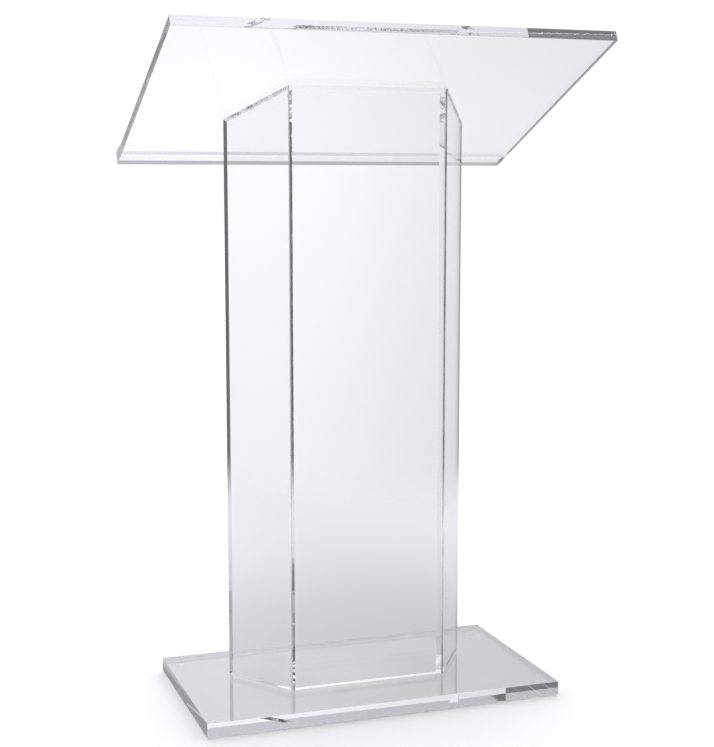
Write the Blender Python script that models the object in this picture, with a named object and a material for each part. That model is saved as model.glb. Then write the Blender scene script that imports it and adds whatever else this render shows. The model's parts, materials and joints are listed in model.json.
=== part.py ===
"""Clear acrylic presentation lectern, built as separate sheets and feet.

Frame: metres, +Z up, origin on the floor under the middle of the lectern.
The audience is at -Y and the speaker at +Y. The lectern is symmetric about X = 0.
Left and right are the audience's: left is -X.
"""

from math import cos, pi, radians, sin, sqrt, tan

import bmesh
import bpy
from mathutils import Matrix, Vector

# Driving dimensions
OVERALL_H = 1.194           # floor to the highest corner of the reading top
GAP = 0.0003                # room between two neighbouring pieces, filled by a cement film
ARRIS = 0.0006              # small polished flat along each free edge of a sheet

BASE_W = 0.660
BASE_D = 0.370
BASE_T = 0.025

FOOT_R = 0.011              # at the adhesive face, under the base
FOOT_ROUND = 0.002          # radius of the round edge next to the floor
FOOT_H = 0.003
FOOT_INSET_X = 0.029        # foot centre to the side edge of the base
FOOT_INSET_Y = 0.025        # foot centre to the front or back edge of the base
FOOT_SIDES = 40
FOOT_ROUND_STEPS = 4

PANEL_T = 0.018             # the three upright sheets of the column
FRONT_W = 0.294             # outer face of the front panel, from mitre tip to mitre tip
FRONT_Y = -0.073            # where that face stands
WING_W = 0.153              # outer face of a wing, from mitre tip to back edge
WING_SPLAY = radians(33)    # a wing's turn away from pointing straight back

TOP_W = 0.776
TOP_L = 0.498               # along the slope, without the ledge
TOP_T = 0.018
TILT = radians(23)          # slope of the reading top, its high edge at the audience
LEDGE_T = 0.032             # along the slope
LEDGE_H = 0.025             # square to the slope, from the underside of the top

# Derived places
BASE_BOTTOM = FOOT_H
BASE_TOP = BASE_BOTTOM + BASE_T
SLOPE_L = TOP_L + GAP + LEDGE_T
TOP_DEPTH = SLOPE_L * cos(TILT) + LEDGE_H * sin(TILT)
HIGH_EDGE_Y = -TOP_DEPTH / 2                    # the top is centred over the base
HIGH_EDGE_Z = OVERALL_H - TOP_T * cos(TILT)     # underside of the high edge
MITRE_RUN = PANEL_T * (1 - sin(WING_SPLAY)) / cos(WING_SPLAY)
MITRE_SETBACK = GAP / 2 * sqrt(1 + (MITRE_RUN / PANEL_T) ** 2)


def clear_scene():
    for obj in list(bpy.data.objects):
        bpy.data.objects.remove(obj, do_unlink=True)


def clear_plastic(name, color, roughness, ior):
    """A see-through material for one piece."""
    material = bpy.data.materials.new(name)
    material.use_nodes = True
    shader = material.node_tree.nodes["Principled BSDF"]
    shader.inputs["Base Color"].default_value = color
    shader.inputs["Metallic"].default_value = 0.0
    shader.inputs["Roughness"].default_value = roughness
    shader.inputs["IOR"].default_value = ior
    shader.inputs["Transmission Weight"].default_value = 1.0
    return material


def acrylic(name):
    return clear_plastic(name, (0.97, 0.97, 0.99, 1.0), roughness=0.02, ior=1.49)


def soft_vinyl(name):
    return clear_plastic(name, (0.90, 0.91, 0.92, 1.0), roughness=0.20, ior=1.50)


def add_object(name, bm, material):
    """Turn a finished bmesh into a named object whose faces point outwards."""
    bmesh.ops.recalc_face_normals(bm, faces=bm.faces)
    mesh = bpy.data.meshes.new(name)
    bm.to_mesh(mesh)
    bm.free()
    mesh.materials.append(material)
    obj = bpy.data.objects.new(name, mesh)
    bpy.context.collection.objects.link(obj)
    return obj


def prism(low, high):
    """A bmesh solid between two outlines with the same number of corners."""
    bm = bmesh.new()
    low_verts = [bm.verts.new(point) for point in low]
    high_verts = [bm.verts.new(point) for point in high]
    bm.faces.new(low_verts)
    bm.faces.new(high_verts)
    count = len(low)
    for i in range(count):
        j = (i + 1) % count
        bm.faces.new((low_verts[i], low_verts[j], high_verts[j], high_verts[i]))
    return bm


def block(low, high):
    """A bmesh box between two opposite corners."""
    (x0, y0, z0), (x1, y1, z1) = low, high
    outline = ((x0, y0), (x1, y0), (x1, y1), (x0, y1))
    return prism([(x, y, z0) for x, y in outline], [(x, y, z1) for x, y in outline])


def polish_edges(bm, is_free):
    """Cut the arris along every edge whose two end points both pass is_free."""
    edges = [edge for edge in bm.edges if all(is_free(vert.co) for vert in edge.verts)]
    bmesh.ops.bevel(bm, geom=edges, offset=ARRIS, offset_type="OFFSET", segments=1,
                    profile=0.5, affect="EDGES", clamp_overlap=True)


def base_plate():
    bm = block((-BASE_W / 2, -BASE_D / 2, BASE_BOTTOM), (BASE_W / 2, BASE_D / 2, BASE_TOP))
    polish_edges(bm, lambda point: True)
    return add_object("base_plate", bm, acrylic("base_plate"))


def foot_profile():
    """Half section of a foot, from its middle on the floor to its middle at the top."""
    top = FOOT_H - GAP
    points = [(0.0, 0.0)]
    for step in range(FOOT_ROUND_STEPS + 1):
        turn = pi / 2 * step / FOOT_ROUND_STEPS
        points.append((FOOT_R - FOOT_ROUND * (1 - sin(turn)), FOOT_ROUND * (1 - cos(turn))))
    return points + [(FOOT_R, top), (0.0, top)]


def foot(name, x, y):
    """A stick-on bumper, turned from its half section."""
    bm = bmesh.new()
    verts = [bm.verts.new((radius, 0.0, z)) for radius, z in foot_profile()]
    edges = [bm.edges.new(pair) for pair in zip(verts, verts[1:])]
    bmesh.ops.spin(bm, geom=verts + edges, cent=(0, 0, 0), axis=(0, 0, 1), angle=2 * pi,
                   steps=FOOT_SIDES, use_merge=True, use_duplicate=False)
    bmesh.ops.remove_doubles(bm, verts=bm.verts, dist=1e-6)
    obj = add_object(name, bm, soft_vinyl(name))
    obj.data.shade_smooth()
    obj.data.set_sharp_from_angle(angle=radians(40))
    obj.location = (x, y, 0.0)
    return obj


def feet():
    x = BASE_W / 2 - FOOT_INSET_X
    y = BASE_D / 2 - FOOT_INSET_Y
    for y_name, y_sign in (("front", -1), ("back", 1)):
        for x_name, x_sign in (("left", -1), ("right", 1)):
            foot(f"foot_{y_name}_{x_name}", x_sign * x, y_sign * y)


def underside_z(y):
    """Height of the underside of the reading top above a place in the plan."""
    return HIGH_EDGE_Z - tan(TILT) * (y - HIGH_EDGE_Y)


def upright(plan):
    """A bmesh sheet standing on the base and cut to the slope of the reading top."""
    low = [(x, y, BASE_TOP + GAP) for x, y in plan]
    high = [(x, y, underside_z(y) - GAP / cos(TILT)) for x, y in plan]
    return prism(low, high)


def front_panel():
    outer = FRONT_W / 2 - MITRE_SETBACK
    inner = outer - MITRE_RUN
    back = FRONT_Y + PANEL_T
    bm = upright([(-outer, FRONT_Y), (outer, FRONT_Y), (inner, back), (-inner, back)])
    return add_object("front_panel", bm, acrylic("front_panel"))


def wing(name, side):
    """A splayed side sheet, mitred to the front panel; side is -1 or 1."""
    along = Vector((sin(WING_SPLAY), cos(WING_SPLAY)))
    inward = Vector((-cos(WING_SPLAY), sin(WING_SPLAY)))
    tip = Vector((FRONT_W / 2, FRONT_Y))
    outer_front = tip + along * MITRE_SETBACK
    inner_front = tip + Vector((-MITRE_RUN, PANEL_T)) + along * MITRE_SETBACK
    outer_back = tip + along * WING_W
    inner_back = outer_back + inward * PANEL_T
    plan = [(side * x, y) for x, y in (outer_front, outer_back, inner_back, inner_front)]
    bm = upright(plan)
    polish_edges(bm, lambda point: point.y > outer_back.y - 1e-4)
    return add_object(name, bm, acrylic(name))


def slope_matrix():
    """Local frame of the top: X across, Y down the slope, Z out of the reading face."""
    return Matrix.Translation((0, HIGH_EDGE_Y, HIGH_EDGE_Z)) @ Matrix.Rotation(-TILT, 4, "X")


def reading_top():
    bm = block((-TOP_W / 2, 0.0, 0.0), (TOP_W / 2, TOP_L, TOP_T))
    polish_edges(bm, lambda point: point.y < TOP_L / 2)
    obj = add_object("reading_top", bm, acrylic("reading_top"))
    obj.matrix_world = slope_matrix()
    return obj


def ledge():
    """The bar that stops books and papers, cemented to the low end of the top."""
    inner = TOP_L + GAP
    bm = block((-TOP_W / 2, inner, 0.0), (TOP_W / 2, SLOPE_L, LEDGE_H))
    polish_edges(bm, lambda point: point.y > inner + LEDGE_T / 2 or point.z > TOP_T)
    obj = add_object("ledge", bm, acrylic("ledge"))
    obj.matrix_world = slope_matrix()
    return obj


def main():
    clear_scene()
    base_plate()
    feet()
    front_panel()
    wing("left_wing", -1)
    wing("right_wing", 1)
    reading_top()
    ledge()


main()
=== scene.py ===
import json
from math import atan2, cos, pi, radians, sin, sqrt
from random import Random

import bmesh
import bpy
from mathutils import Matrix, Vector


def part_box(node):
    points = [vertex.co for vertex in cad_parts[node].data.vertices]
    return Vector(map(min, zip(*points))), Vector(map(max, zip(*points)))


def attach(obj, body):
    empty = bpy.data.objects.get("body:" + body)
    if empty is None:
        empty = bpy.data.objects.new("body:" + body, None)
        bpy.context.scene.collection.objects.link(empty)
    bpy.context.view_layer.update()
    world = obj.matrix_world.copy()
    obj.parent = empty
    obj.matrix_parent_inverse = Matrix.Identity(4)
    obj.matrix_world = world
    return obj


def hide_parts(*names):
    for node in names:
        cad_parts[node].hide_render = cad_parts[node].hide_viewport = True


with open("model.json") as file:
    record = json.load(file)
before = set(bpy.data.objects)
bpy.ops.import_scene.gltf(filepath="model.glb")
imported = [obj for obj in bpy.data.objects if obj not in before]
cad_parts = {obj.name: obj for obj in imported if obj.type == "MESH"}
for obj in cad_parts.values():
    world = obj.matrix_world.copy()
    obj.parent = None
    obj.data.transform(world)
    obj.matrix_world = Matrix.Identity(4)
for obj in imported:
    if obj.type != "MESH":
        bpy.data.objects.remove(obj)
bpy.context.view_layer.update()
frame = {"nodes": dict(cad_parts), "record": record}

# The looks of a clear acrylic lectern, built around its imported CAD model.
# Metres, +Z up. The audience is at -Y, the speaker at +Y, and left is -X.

# Design sizes that the frame's boxes do not give
GAP = 0.0003                # room between two neighbours, as in the CAD; it stands for the cement
ARRIS = 0.0006              # reach of the small rounding along each free edge of a sheet
SPLAY = radians(33)         # a wing's turn away from pointing straight back
MITRE_OPEN = 0.22           # share of a mitre, next to the outer corner, that the cement missed
FOOT_TO_HEAD = (0.1, 0.2)   # heights that part the joints at the column's foot from those at its head
WETTER_Y = (-0.055, -0.025)     # where cement takes over from air at the foot, from front to back

# Material slots of a sheet's mesh: its broad faces, its narrow edges, the joints that cement filled
# wholly or in patches, the open part of a mitre, and the edges at the far left and right, whose darker
# tint is painted shade
FACE, EDGE, CEMENT, PATCHY, FILM, SIDE = range(6)
JOINTS = (CEMENT, PATCHY)

# How the clear plastics look
IOR = 1.49
FACE_TINTS = ((0.974, 0.970, 0.984, 1), (0.984, 0.980, 0.992, 1))
EDGE_TINT = (0.87, 0.875, 0.91, 1)
# painted shade: the edges at the far left and right are tinted darker than the other edges
SIDE_PAINTED_SHADE_TINT = (0.55, 0.555, 0.585, 1)
FOOT_TINT = (0.93, 0.935, 0.95, 1)

# Air left in the two corner joints
BUBBLE_SEED = 11
BUBBLE_RADII = (0.0006, 0.0015)
BUBBLE_STRETCH = (1.0, 1.9)     # height of a bubble as a share of its width
BUBBLE_DEPTH = 0.0012           # from the mitre to a bubble, along the wing
BUBBLE_SPREAD = 0.005           # reach to either side of the mitre's middle
FOOT_BUBBLES = 9
FOOT_TRAIL = (0.004, 0.055)     # the trail's start above the base, and its height
HEAD_BUBBLES = 2
HEAD_TRAIL = (0.012, 0.02)      # the same below the wing's highest corner

# The grey sweep that shows through the acrylic, with light and shade painted into its glowing tone
FLOOR_REACH = 30.0              # from the middle to each side of the floor
PAINTED_FLOOR_TONES = ((0.0, 0.49), (0.14, 0.42), (0.24, 0.45), (0.34, 0.45), (0.6, 0.51), (0.85, 0.60),
               (1.15, 0.68), (1.5, 0.73), (2.2, 0.72))      # by distance from the middle: painted light and shade, lower near the middle under the lectern and rising outwards
FLOOR_TINT = (0.972, 0.965, 1.015)
FLOOR_FADE = (1.2, 2.2)         # distances between which the sweep gives way to the walls
FLOOR_MATT = 0.3                # how much of the studio's light it adds to its own tone
PAINTED_PATCH_TONE = 0.3                 # share of the tone left in two painted dark patches, which stand in for black cards
PAINTED_PATCH_BOUNCES = 3.5              # only light that was mirrored more often finds them, so they paint dark reflections
REAR_PATCH_X = (-0.1, 0.35)      # the patch at the rear left ends softly between these
REAR_PATCH_Y = (0.5, 0.8)        # and starts between these
SIDE_PATCH_X = (0.32, 0.34)      # the patch beside the base starts softly between these
SIDE_PATCH_REACH = (0.6, 0.8)    # and ends between these distances from the middle
FLOOR_WHITE_AND_PAINTED_SHADOW = (1.37, 1.43)      # above 1, so that the lit floor looks white to the camera; the first, near the middle, is lower: a painted soft shadow around the lectern
PAINTED_SHADOW_REACH = (0.25, 0.62)      # distances over which the painted shadow changes from the first to the second

# The studio's walls: tone by the sideways part of a direction, from far left to far right
WALL_TONES = ((-1.0, 0.20), (-0.6, 0.20), (-0.4, 0.24), (-0.28, 0.36), (-0.19, 0.55), (-0.09, 1.0),
              (0.05, 1.08), (0.15, 1.07), (0.25, 1.125), (0.33, 1.05), (0.38, 0.96), (0.45, 0.88),
              (0.55, 0.80), (0.68, 0.77), (0.80, 0.87), (0.87, 0.94), (0.94, 0.5), (1.0, 0.19))
ROOM_TINT = (0.997, 0.99, 1.02, 1)
WHITE = (1, 1, 1, 1)
BACKDROP = 0.97                 # tone of the backdrop on the sides that the photograph doesn't show
BOUNCES = 160                   # light trapped in a corner joint makes long trips
CLEAR_CROSSINGS = 256           # cemented faces that one path may cross

# The photograph's viewpoint, and the way it looks
CAMERA_PLACE = (-0.8735, -2.5254, 0.9394)
CAMERA_YAW = radians(19.13)
CAMERA_PITCH = radians(7.456)
CAMERA_LENS = 70.84             # in millimetres, as is the sensor
CAMERA_SENSOR = 36.0
VIEW_AXIS = (sin(CAMERA_YAW) * cos(CAMERA_PITCH), cos(CAMERA_YAW) * cos(CAMERA_PITCH),
             -sin(CAMERA_PITCH))


# ---------------------------------------------------------------- node helpers

def feed(tree, node, inputs):
    """Gives a node its inputs, each a plain value or another node's output to link."""
    for name, value in inputs.items():
        if isinstance(value, bpy.types.NodeSocket):
            tree.links.new(value, node.inputs[name])
        else:
            node.inputs[name].default_value = value


def add_node(tree, kind, inputs=None, **settings):
    """A new shader node, with its settings made before its inputs are fed."""
    made = tree.nodes.new(kind)
    for name, value in settings.items():
        setattr(made, name, value)
    feed(tree, made, inputs or {})
    return made


def maths(tree, operation, a, b):
    return add_node(tree, "ShaderNodeMath", {0: a, 1: b}, operation=operation).outputs[0]


def multiply(tree, first, *others):
    for other in others:
        first = maths(tree, "MULTIPLY", first, other)
    return first


def mix(tree, share, a, b, data_type="FLOAT"):
    """a where share is 0, turning into b where it is 1."""
    return add_node(tree, "ShaderNodeMix", {"Factor": share, "A": a, "B": b},
                    data_type=data_type).outputs["Result"]


def split(tree, vector):
    """The X, Y and Z of a vector."""
    outputs = add_node(tree, "ShaderNodeSeparateXYZ", {0: vector}).outputs
    return outputs["X"], outputs["Y"], outputs["Z"]


def remap(tree, value, from_low, from_high, to_low, to_high):
    """value taken smoothly from one range to another, and held at its ends."""
    made = add_node(
        tree, "ShaderNodeMapRange",
        {"Value": value, "From Min": from_low, "From Max": from_high,
         "To Min": to_low, "To Max": to_high},
        interpolation_type="SMOOTHSTEP")
    return made.outputs["Result"]


def own_place(tree):
    """The place on the object, in its own coordinates."""
    return add_node(tree, "ShaderNodeTexCoord").outputs["Object"]


def noise_pattern(tree, scale, detail=2.0, stretch=(1, 1, 1)):
    """Noise over the object, its scale in features per metre."""
    mapping = add_node(tree, "ShaderNodeMapping", {"Vector": own_place(tree), "Scale": stretch})
    made = add_node(tree, "ShaderNodeTexNoise",
                    {"Vector": mapping.outputs[0], "Scale": scale, "Detail": detail})
    return made.outputs["Fac"]


def relief(tree, pattern, height):
    """The normal of a surface with the pattern's bumps, up to a height in metres."""
    return add_node(tree, "ShaderNodeBump",
                    {"Height": pattern, "Strength": 1.0, "Distance": height}).outputs[0]


def clear_shader(name):
    """A new material with one clear Principled shader. Returns the material, tree and shader."""
    material = bpy.data.materials.new(name)
    material.use_nodes = True
    tree = material.node_tree
    shader = tree.nodes["Principled BSDF"]
    feed(tree, shader, {"IOR": IOR, "Transmission Weight": 1.0})
    return material, tree, shader


# ------------------------------------------------------------------- materials

def face_material():
    """Cast sheet: barely tinted, faintly uneven, with a few smudges from handling."""
    material, tree, shader = clear_shader("acrylic_face")
    feed(tree, shader, {
        "Base Color": mix(tree, noise_pattern(tree, 3.0), *FACE_TINTS, data_type="RGBA"),
        "Roughness": remap(tree, noise_pattern(tree, 14.0, detail=4.0), 0.55, 0.8, 0.0, 0.02),
        "Normal": relief(tree, noise_pattern(tree, 9.0), 0.00002)})
    return material


def edge_material(name, tint, ripple_scale, ripple_height):
    """Polished sawn edge: fine ripples that wobble what is seen through it."""
    material, tree, shader = clear_shader(name)
    feed(tree, shader, {
        "Base Color": tint,
        "Roughness": remap(tree, noise_pattern(tree, 60.0, detail=3.0), 0.4, 0.8, 0.0, 0.05),
        "Normal": relief(tree, noise_pattern(tree, ripple_scale), ripple_height)})
    return material


def cement_material():
    """A joint face. Cement matches the acrylic, so light goes straight through it."""
    material, tree, shader = clear_shader("acrylic_cement")
    feed(tree, shader, {"Roughness": 0.0, "Alpha": 0.0})
    return material


def patchy_material():
    """A joint that the cement reached only in patches, with a film of air between them.
    The heads of the wings are wetted a little more than that. At the foot of the column the front
    panel, at low Y, stands almost wholly on air, and the wings are wetted more towards the back.
    """
    material, tree, shader = clear_shader("acrylic_patchy_cement")
    patches = noise_pattern(tree, 48.0, detail=1.5, stretch=(1, 1, 0))
    y, z = split(tree, own_place(tree))[1:]
    at_foot = multiply(tree, remap(tree, y, *WETTER_Y, -0.12, 0.3),
                       remap(tree, z, *FOOT_TO_HEAD, 1.0, 0.0))
    at_head = remap(tree, z, *FOOT_TO_HEAD, 0.0, 0.10)
    wetted = maths(tree, "ADD", at_foot, at_head)
    air = remap(tree, maths(tree, "SUBTRACT", patches, wetted), 0.40, 0.46, 0.0, 1.0)
    feed(tree, shader, {"Roughness": 0.0, "Alpha": air})
    return material


def film_material():
    """The part of a mitre that the cement missed: air behind a face with dried, streaky haze."""
    material, tree, shader = clear_shader("acrylic_air_film")
    streaks = noise_pattern(tree, 400.0, stretch=(1, 1, 0.04))
    feed(tree, shader, {"Roughness": remap(tree, streaks, 0.35, 0.65, 0.08, 0.3)})
    return material


def foot_material():
    """Clear soft bumper, slightly hazy."""
    material, tree, shader = clear_shader("clear_vinyl")
    haze = remap(tree, noise_pattern(tree, 300.0, detail=3.0), 0.3, 0.8, 0.1, 0.25)
    feed(tree, shader, {"Base Color": FOOT_TINT, "Roughness": haze})
    return material


SHEET_MATERIALS = {
    FACE: face_material(),
    EDGE: edge_material("acrylic_edge", EDGE_TINT, ripple_scale=90.0, ripple_height=0.00004),
    CEMENT: cement_material(),
    PATCHY: patchy_material(),
    FILM: film_material(),
    # the side edges' darker tint is painted shade; their stronger ripples are real
    SIDE: edge_material("acrylic_side_edge_painted_shade", SIDE_PAINTED_SHADE_TINT, ripple_scale=60.0, ripple_height=0.00012),
}
FOOT_MATERIAL = foot_material()


# ---------------------------------------------------------------- mesh helpers

def prism(low, high):
    """A closed bmesh solid between two outlines with the same number of corners."""
    bm = bmesh.new()
    low_verts = [bm.verts.new(point) for point in low]
    high_verts = [bm.verts.new(point) for point in high]
    bm.faces.new(reversed(low_verts))
    bm.faces.new(high_verts)
    count = len(low)
    for i in range(count):
        j = (i + 1) % count
        bm.faces.new((low_verts[i], low_verts[j], high_verts[j], high_verts[i]))
    bmesh.ops.recalc_face_normals(bm, faces=bm.faces)
    bm.normal_update()
    return bm


def block(low, high):
    """A bmesh box between two opposite corners."""
    (x0, y0, z0), (x1, y1, z1) = low, high
    outline = ((x0, y0), (x1, y0), (x1, y1), (x0, y1))
    return prism([(x, y, z0) for x, y in outline], [(x, y, z1) for x, y in outline])


def round_edges(bm, edges):
    """Rounds free edges by the arris."""
    bmesh.ops.bevel(bm, geom=list(edges), offset=ARRIS, offset_type="OFFSET", segments=2,
                    profile=0.5, affect="EDGES", clamp_overlap=True, material=EDGE)


def mark(bm, slot, passes):
    """Gives a material slot to the faces that pass."""
    for face in bm.faces:
        if passes(face):
            face.material_index = slot


def mark_edges(bm):
    """Gives the four narrow faces of a level sheet their slots."""
    mark(bm, EDGE, lambda face: abs(face.normal.z) < 0.5)
    mark(bm, SIDE, lambda face: abs(face.normal.x) > 0.5)


def facing(direction):
    """A test for faces that point one way, to within 3 degrees."""
    direction = Vector(direction).normalized()
    return lambda face: face.normal.dot(direction) > 0.999


def outline_of(bm, passes):
    """The corners of each face that passes, in order."""
    return [[vert.co.copy() for vert in face.verts] for face in bm.faces if passes(face)]


def imprint(bm, outline, passes, slot):
    """Cuts a convex outline into the flat faces that pass, and gives what it holds a slot."""
    inside = [face for face in bm.faces if passes(face) and face.material_index not in JOINTS]
    up = inside[0].normal.copy()
    middle = sum(outline, Vector()) / len(outline)
    for start, end in zip(outline, outline[1:] + outline[:1]):
        outward = (end - start).cross(up).normalized()
        if outward.dot(middle - start) > 0:
            outward.negate()
        parts = set(inside)
        for face in inside:
            parts.update(face.edges)
            parts.update(face.verts)
        cut = bmesh.ops.bisect_plane(bm, geom=list(parts), plane_co=start, plane_no=outward,
                                     dist=1e-7)
        faces = [item for item in cut["geom"] if isinstance(item, bmesh.types.BMFace)]
        inside = [face for face in faces
                  if (face.calc_center_median() - start).dot(outward) < 0]
    for face in inside:
        face.material_index = slot


def finish_piece(name, bm, materials, node):
    """Turns a bmesh into a piece that stands for one CAD node."""
    mesh = bpy.data.meshes.new(name)
    bm.to_mesh(mesh)
    bm.free()
    for material in materials:
        mesh.materials.append(material)
    piece = bpy.data.objects.new(name, mesh)
    bpy.context.scene.collection.objects.link(piece)
    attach(piece, "root")
    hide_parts(node)


# ---------------------------------------------------------------------- sheets

def slope_turn():
    """The turn from level to the slope of the reading top, from its mount."""
    for mount in frame["record"]["mounts"]:
        if mount["name"] == "reading_surface":
            return Matrix.Rotation(-atan2(mount["axis"][1], mount["axis"][2]), 4, "X")
    raise ValueError("the record has no reading_surface mount")


def sloped_box(node, turn):
    """The lowest and highest corner of a node, measured square to the slope."""
    level = turn.inverted()
    points = [level @ vert.co for vert in frame["nodes"][node].data.vertices]
    return [Vector(pick(point[i] for point in points) for i in range(3)) for pick in (min, max)]


TURN = slope_turn()
SLOPE_UP = (TURN @ Vector((0, 0, 1))).normalized()
TOP_LOW, TOP_HIGH = sloped_box("reading_top", TURN)
LEDGE_LOW, LEDGE_HIGH = sloped_box("ledge", TURN)
BASE_LOW, BASE_HIGH = (Vector(corner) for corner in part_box("base_plate"))
FRONT_LOW, FRONT_HIGH = (Vector(corner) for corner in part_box("front_panel"))
PANEL_T = FRONT_HIGH.y - FRONT_LOW.y
MITRE_RUN = PANEL_T * (1 - sin(SPLAY)) / cos(SPLAY)
SETBACK = GAP / 2 * sqrt(1 + (MITRE_RUN / PANEL_T) ** 2)
TIP = Vector((FRONT_HIGH.x + SETBACK, FRONT_LOW.y))


def upright(plan):
    """A sheet standing on the base and cut to the slope under the reading top."""
    foot_z = BASE_HIGH.z + GAP
    head = TOP_LOW.z - GAP
    return prism([(x, y, foot_z) for x, y in plan],
                 [(x, y, (head - SLOPE_UP.y * y) / SLOPE_UP.z) for x, y in plan])


def cemented(normal, start, end):
    """A test for the part of a mitre that the cement reached, from outer to inner corner."""
    open_end = start.lerp(end, MITRE_OPEN)
    faces_mitre = facing(normal)
    return lambda face: faces_mitre(face) and face.calc_center_median().y > open_end.y


def front_panel():
    """The upright sheet at the audience's side, mitred at both ends."""
    outer = Vector((TIP.x - SETBACK, FRONT_LOW.y))
    inner = outer + Vector((-MITRE_RUN, PANEL_T))
    right_mitre = (outer, outer.lerp(inner, MITRE_OPEN), inner)
    left_mitre = [Vector((-point.x, point.y)) for point in reversed(right_mitre)]
    bm = upright([*right_mitre, *left_mitre])
    for side in (-1, 1):
        mitre = (side * PANEL_T, MITRE_RUN, 0)
        mark(bm, FILM, facing(mitre))
        mark(bm, CEMENT, cemented(mitre, outer, inner))
    mark(bm, CEMENT, facing(SLOPE_UP))
    mark(bm, PATCHY, facing((0, 0, -1)))
    return bm


def wing(side):
    """A splayed side sheet; side is -1 or 1. Its box ends short of its corner by the arris."""
    along = Vector((sin(SPLAY), cos(SPLAY)))
    inward = Vector((-cos(SPLAY), sin(SPLAY)))
    run = (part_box("right_wing")[1][0] + ARRIS * sin(SPLAY) - TIP.x) / sin(SPLAY)
    outer_back = TIP + along * run
    inner_back = outer_back + inward * PANEL_T
    outer_front = TIP + along * SETBACK
    inner_front = outer_front + Vector((-MITRE_RUN, PANEL_T))
    opening = outer_front.lerp(inner_front, MITRE_OPEN)
    middle_y = (outer_front.y + outer_back.y) / 2
    corners = (outer_front, outer_back, inner_back, inner_front, opening)
    mitre = (-side * PANEL_T, -MITRE_RUN, 0)
    bm = upright([(side * x, y) for x, y in corners])
    mark(bm, EDGE, facing((side * along.x, along.y, 0)))
    mark(bm, FILM, facing(mitre))
    mark(bm, CEMENT, cemented(mitre, outer_front, inner_front))
    mark(bm, PATCHY, facing(SLOPE_UP))
    mark(bm, PATCHY, facing((0, 0, -1)))
    back_corners = [edge for edge in bm.edges
                    if all(vert.co.y > middle_y for vert in edge.verts)
                    and abs(edge.verts[0].co.z - edge.verts[1].co.z) > PANEL_T]
    round_edges(bm, back_corners)
    return bm


def base_plate():
    """The level sheet that stands on the feet, with every edge rounded."""
    bm = block(BASE_LOW, BASE_HIGH)
    mark_edges(bm)
    round_edges(bm, bm.edges)
    return bm


def reading_top():
    """The sloped sheet, laid level; build() tilts it."""
    low_end = facing((0, 1, 0))
    bm = block(TOP_LOW, TOP_HIGH)
    mark_edges(bm)
    mark(bm, CEMENT, low_end)
    round_edges(bm, [edge for edge in bm.edges if not any(map(low_end, edge.link_faces))])
    return bm


def ledge():
    """The stop bar, laid level; build() tilts it. Its edges beside the joint stay sharp."""
    middle_y = (LEDGE_LOW.y + LEDGE_HIGH.y) / 2
    bm = block(LEDGE_LOW, LEDGE_HIGH)
    mark_edges(bm)
    round_edges(bm, [edge for edge in bm.edges
                     if all(vert.co.y > middle_y or vert.co.z > TOP_HIGH.z for vert in edge.verts)])
    return bm


def bubble(bm, middle, radii):
    """An air bubble inside the acrylic: a closed shell whose faces point at its middle."""
    place = Matrix.Translation(middle) @ Matrix.Diagonal((*radii, 1))
    made = bmesh.ops.create_icosphere(bm, subdivisions=2, radius=1.0, matrix=place)
    faces = {face for vert in made["verts"] for face in vert.link_faces}
    bmesh.ops.reverse_faces(bm, faces=list(faces))
    for face in faces:
        face.smooth = True


def cement_bubbles(bm, side):
    """The air that stayed in a corner joint: a trail at the foot and a few at the head."""
    picks = Random(BUBBLE_SEED + side)
    along = Vector((side * sin(SPLAY), cos(SPLAY)))
    start = Vector((side * (TIP.x - MITRE_RUN / 2), TIP.y + PANEL_T / 2))
    across = Vector((side * -MITRE_RUN, PANEL_T)).normalized()
    foot_z = BASE_HIGH.z + FOOT_TRAIL[0]
    head_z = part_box("left_wing")[1][2] - HEAD_TRAIL[0]
    heights = [foot_z + FOOT_TRAIL[1] * (i + picks.random()) / FOOT_BUBBLES
               for i in range(FOOT_BUBBLES)]
    heights += [head_z - HEAD_TRAIL[1] * picks.random() for i in range(HEAD_BUBBLES)]
    for z in heights:
        size = picks.uniform(*BUBBLE_RADII)
        sideways = picks.uniform(-BUBBLE_SPREAD, BUBBLE_SPREAD)
        plan = start + along * (size + BUBBLE_DEPTH) + across * sideways
        bubble(bm, (plan.x, plan.y, z), (size, size, size * picks.uniform(*BUBBLE_STRETCH)))


def build():
    """Makes the six sheets, and cuts each joint's outline into the wider piece beside it."""
    sheets = {"front_panel": front_panel(), "left_wing": wing(-1), "right_wing": wing(1)}
    base, top, bar = base_plate(), reading_top(), ledge()
    level = TURN.inverted()
    up, down = Vector((0, 0, 1)), Vector((0, 0, -1))
    for name, bm in sheets.items():
        head_joint = CEMENT if name == "front_panel" else PATCHY
        for outline in outline_of(bm, facing(down)):
            imprint(base, outline, facing(up), PATCHY)
        for outline in outline_of(bm, facing(SLOPE_UP)):
            imprint(top, [level @ point for point in outline], facing(down), head_joint)
    for outline in outline_of(top, facing((0, 1, 0))):
        imprint(bar, outline, facing((0, -1, 0)), CEMENT)
    top.transform(TURN)
    bar.transform(TURN)
    for side, name in ((-1, "left_wing"), (1, "right_wing")):
        cement_bubbles(sheets[name], side)
    sheets.update(base_plate=base, reading_top=top, ledge=bar)
    for name, bm in sheets.items():
        finish_piece("clear_" + name, bm, SHEET_MATERIALS.values(), name)


def dress_feet():
    """The four CAD feet stay as they are, in a better material."""
    for name in ("foot_front_left", "foot_front_right", "foot_back_left", "foot_back_right"):
        foot = frame["nodes"][name]
        foot.data.materials.clear()
        foot.data.materials.append(FOOT_MATERIAL)


build()
dress_feet()


# ----------------------------------------------------------------------- stage

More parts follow.
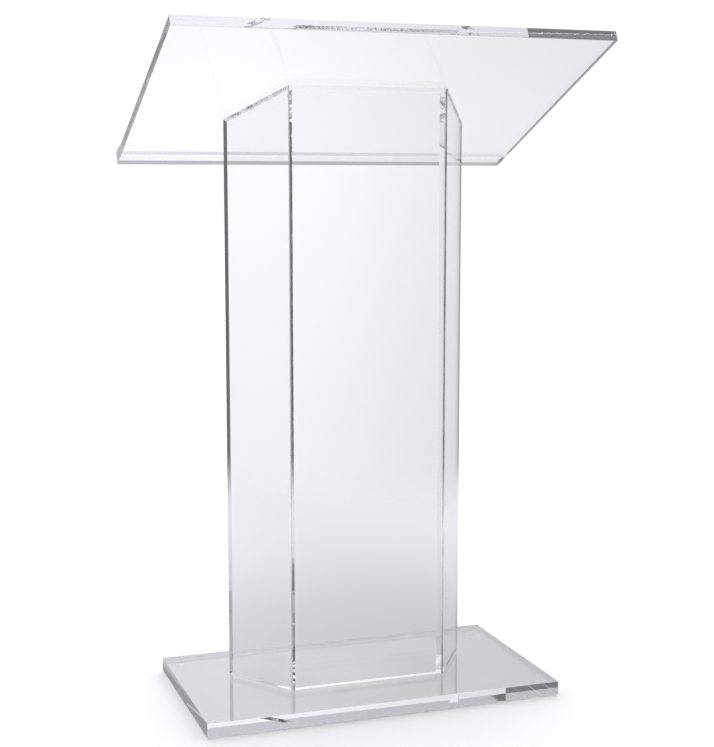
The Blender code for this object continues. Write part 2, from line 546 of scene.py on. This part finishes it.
def tone_curve(tree, value, stops):
    """A smooth curve of value through (place, tone) stops. A ramp holds places and tones from
    0 to 1, so both are scaled on the way in, and the tone again on the way out.
    """
    first, last = stops[0][0], stops[-1][0]
    peak = max(tone for place, tone in stops)
    share = add_node(tree, "ShaderNodeMapRange",
                     {"Value": value, "From Min": first, "From Max": last}).outputs["Result"]
    made = add_node(tree, "ShaderNodeValToRGB", {"Fac": share})
    ramp = made.color_ramp
    ramp.interpolation = "CARDINAL"
    while len(ramp.elements) < len(stops):
        ramp.elements.new(0.5)
    for element, (place, tone) in zip(ramp.elements, stops):
        element.position = (place - first) / (last - first)
        element.color = (tone / peak, tone / peak, tone / peak, 1)
    return maths(tree, "MULTIPLY", made.outputs["Color"], peak)


def painted_patch_shade(tree, x, y, distance, mirrors):
    """What two painted dark patches, standing in for black cards, leave of the sweep's tone: only light
    that was mirrored many times finds them, so they paint dark reflections. One lies at the rear left,
    and one along the base's right side.
    """
    rear_left = multiply(tree, remap(tree, x, *REAR_PATCH_X, 1.0, 0.0),
                         remap(tree, y, *REAR_PATCH_Y, 0.0, 1.0))
    beside = multiply(tree, remap(tree, x, *SIDE_PATCH_X, 0.0, 1.0),
                      remap(tree, distance, *SIDE_PATCH_REACH, 1.0, 0.0))
    painted_patches = maths(tree, "ADD", rear_left, beside)
    found = maths(tree, "GREATER_THAN", mirrors, PAINTED_PATCH_BOUNCES)
    return remap(tree, multiply(tree, painted_patches, found), 0.0, 1.0, 1.0, PAINTED_PATCH_TONE)


def sweep_shader(tree, distance, mirrors):
    """A grey sweep that glows by itself, with painted light and shade, takes some of the studio's light
    and fades out far away.
    """
    x, y = split(tree, own_place(tree))[:2]
    # painted dark reflections: two patches of the sweep are darker for light that was mirrored many times
    shade = painted_patch_shade(tree, x, y, distance, mirrors)
    # painted light and shade: the tone follows the distance from the middle and is lower towards the
    # right
    tone = multiply(tree, tone_curve(tree, distance, PAINTED_FLOOR_TONES), remap(tree, x, -0.3, 0.35, 1.04, 0.86),
                    shade)
    tinted = add_node(tree, "ShaderNodeVectorMath", {0: FLOOR_TINT, "Scale": tone},
                      operation="SCALE").outputs["Vector"]
    glow = add_node(tree, "ShaderNodeEmission", {"Color": tinted})
    matt = add_node(tree, "ShaderNodeBsdfDiffuse", {"Color": multiply(tree, shade, FLOOR_MATT)})
    sweep = add_node(tree, "ShaderNodeAddShader", {0: glow.outputs[0], 1: matt.outputs[0]})
    open_air = add_node(tree, "ShaderNodeBsdfTransparent")
    fade = remap(tree, distance, *FLOOR_FADE, 0.0, 1.0)
    return add_node(tree, "ShaderNodeMixShader",
                    {0: fade, 1: sweep.outputs[0], 2: open_air.outputs[0]}).outputs[0]


def floor_material():
    """Plain white to the camera, with a painted soft shadow around the lectern, and a grey sweep to
    everything seen through the acrylic.
    """
    material = bpy.data.materials.new("studio_floor")
    material.use_nodes = True
    tree = material.node_tree
    tree.nodes.clear()
    distance = add_node(tree, "ShaderNodeVectorMath", {0: own_place(tree)},
                        operation="LENGTH").outputs["Value"]
    path = add_node(tree, "ShaderNodeLightPath").outputs
    sweep = sweep_shader(tree, distance, path["Glossy Depth"])
    # painted shadow: the white's colour is a little lower near the middle, around the lectern
    white = add_node(tree, "ShaderNodeBsdfDiffuse",
                     {"Color": remap(tree, distance, *PAINTED_SHADOW_REACH, *FLOOR_WHITE_AND_PAINTED_SHADOW)})
    shown = add_node(tree, "ShaderNodeMixShader",
                     {0: path["Is Camera Ray"], 1: sweep, 2: white.outputs[0]})
    add_node(tree, "ShaderNodeOutputMaterial", {"Surface": shown.outputs[0]})
    return material


def floor():
    """A square on z = 0, around the middle."""
    far = FLOOR_REACH
    mesh = bpy.data.meshes.new("floor")
    mesh.from_pydata([(-far, -far, 0), (far, -far, 0), (far, far, 0), (-far, far, 0)],
                     [], [(0, 1, 2, 3)])
    mesh.materials.append(floor_material())
    made = bpy.data.objects.new("floor", mesh)
    bpy.context.scene.collection.objects.link(made)


def room_tone(tree, direction):
    """Tone of the room that the acrylic bends and mirrors. The walls are darker at the camera's
    side, a little darker low down and a very little higher up. The ceiling is lighter at the back.
    """
    x, y, z = split(tree, direction)
    side = remap(tree, y, -0.6, 0.3, 0.28, 0.985)
    low = remap(tree, z, -0.25, 0.1, 0.87, 1.0)
    high = remap(tree, z, 0.03, 0.1, 1.0, 0.95)
    walls = multiply(tree, tone_curve(tree, x, WALL_TONES), side, low, high)
    ceiling = remap(tree, y, -0.75, 0.1, 0.5, 1.2)
    return mix(tree, remap(tree, z, 0.35, 0.8, 0.0, 1.0), walls, ceiling)


def backdrop_share(tree, direction, path):
    """1 for light that crossed the acrylic without a bounce, well away from the photograph's
    direction of view, and 0 for the rest.
    """
    ahead = add_node(tree, "ShaderNodeVectorMath", {0: direction, 1: VIEW_AXIS},
                     operation="DOT_PRODUCT").outputs["Value"]
    away = remap(tree, ahead, 0.85, 0.93, 1.0, 0.0)
    bounced = maths(tree, "ADD", path["Glossy Depth"], path["Diffuse Depth"])
    straight = maths(tree, "LESS_THAN", bounced, 0.5)
    crossed = maths(tree, "LESS_THAN", bounced, path["Transmission Depth"])
    return multiply(tree, away, straight, crossed)


def studio():
    """A room for what the acrylic bends and mirrors, and plain white behind it. Light that
    crosses the acrylic without any bounce finds a white backdrop on the other sides too.
    """
    world = bpy.data.worlds.new("studio")
    bpy.context.scene.world = world
    world.use_nodes = True
    tree = world.node_tree
    tree.nodes.clear()
    direction = add_node(tree, "ShaderNodeTexCoord").outputs["Generated"]
    path = add_node(tree, "ShaderNodeLightPath").outputs
    seen_by_camera = path["Is Camera Ray"]
    tone = mix(tree, backdrop_share(tree, direction, path), room_tone(tree, direction), BACKDROP)
    tone = mix(tree, seen_by_camera, tone, 1.0)
    tint = mix(tree, seen_by_camera, ROOM_TINT, WHITE, data_type="RGBA")
    sky = add_node(tree, "ShaderNodeBackground", {"Color": tint, "Strength": tone})
    add_node(tree, "ShaderNodeOutputWorld", {"Surface": sky.outputs[0]})


def camera():
    """The photograph's viewpoint."""
    data = bpy.data.cameras.new("camera")
    made = bpy.data.objects.new("camera", data)
    bpy.context.scene.collection.objects.link(made)
    made.location = CAMERA_PLACE
    made.rotation_euler = (pi / 2 - CAMERA_PITCH, 0, -CAMERA_YAW)
    data.lens = CAMERA_LENS
    data.sensor_width = CAMERA_SENSOR
    bpy.context.scene.camera = made


def light_paths():
    """Enough bounces for light to cross many acrylic faces and joints."""
    cycles = bpy.context.scene.cycles
    cycles.max_bounces = BOUNCES
    cycles.transmission_bounces = BOUNCES
    cycles.glossy_bounces = BOUNCES
    cycles.transparent_max_bounces = CLEAR_CROSSINGS
    bpy.context.scene.view_settings.view_transform = "Standard"


floor()
studio()
camera()
light_paths()
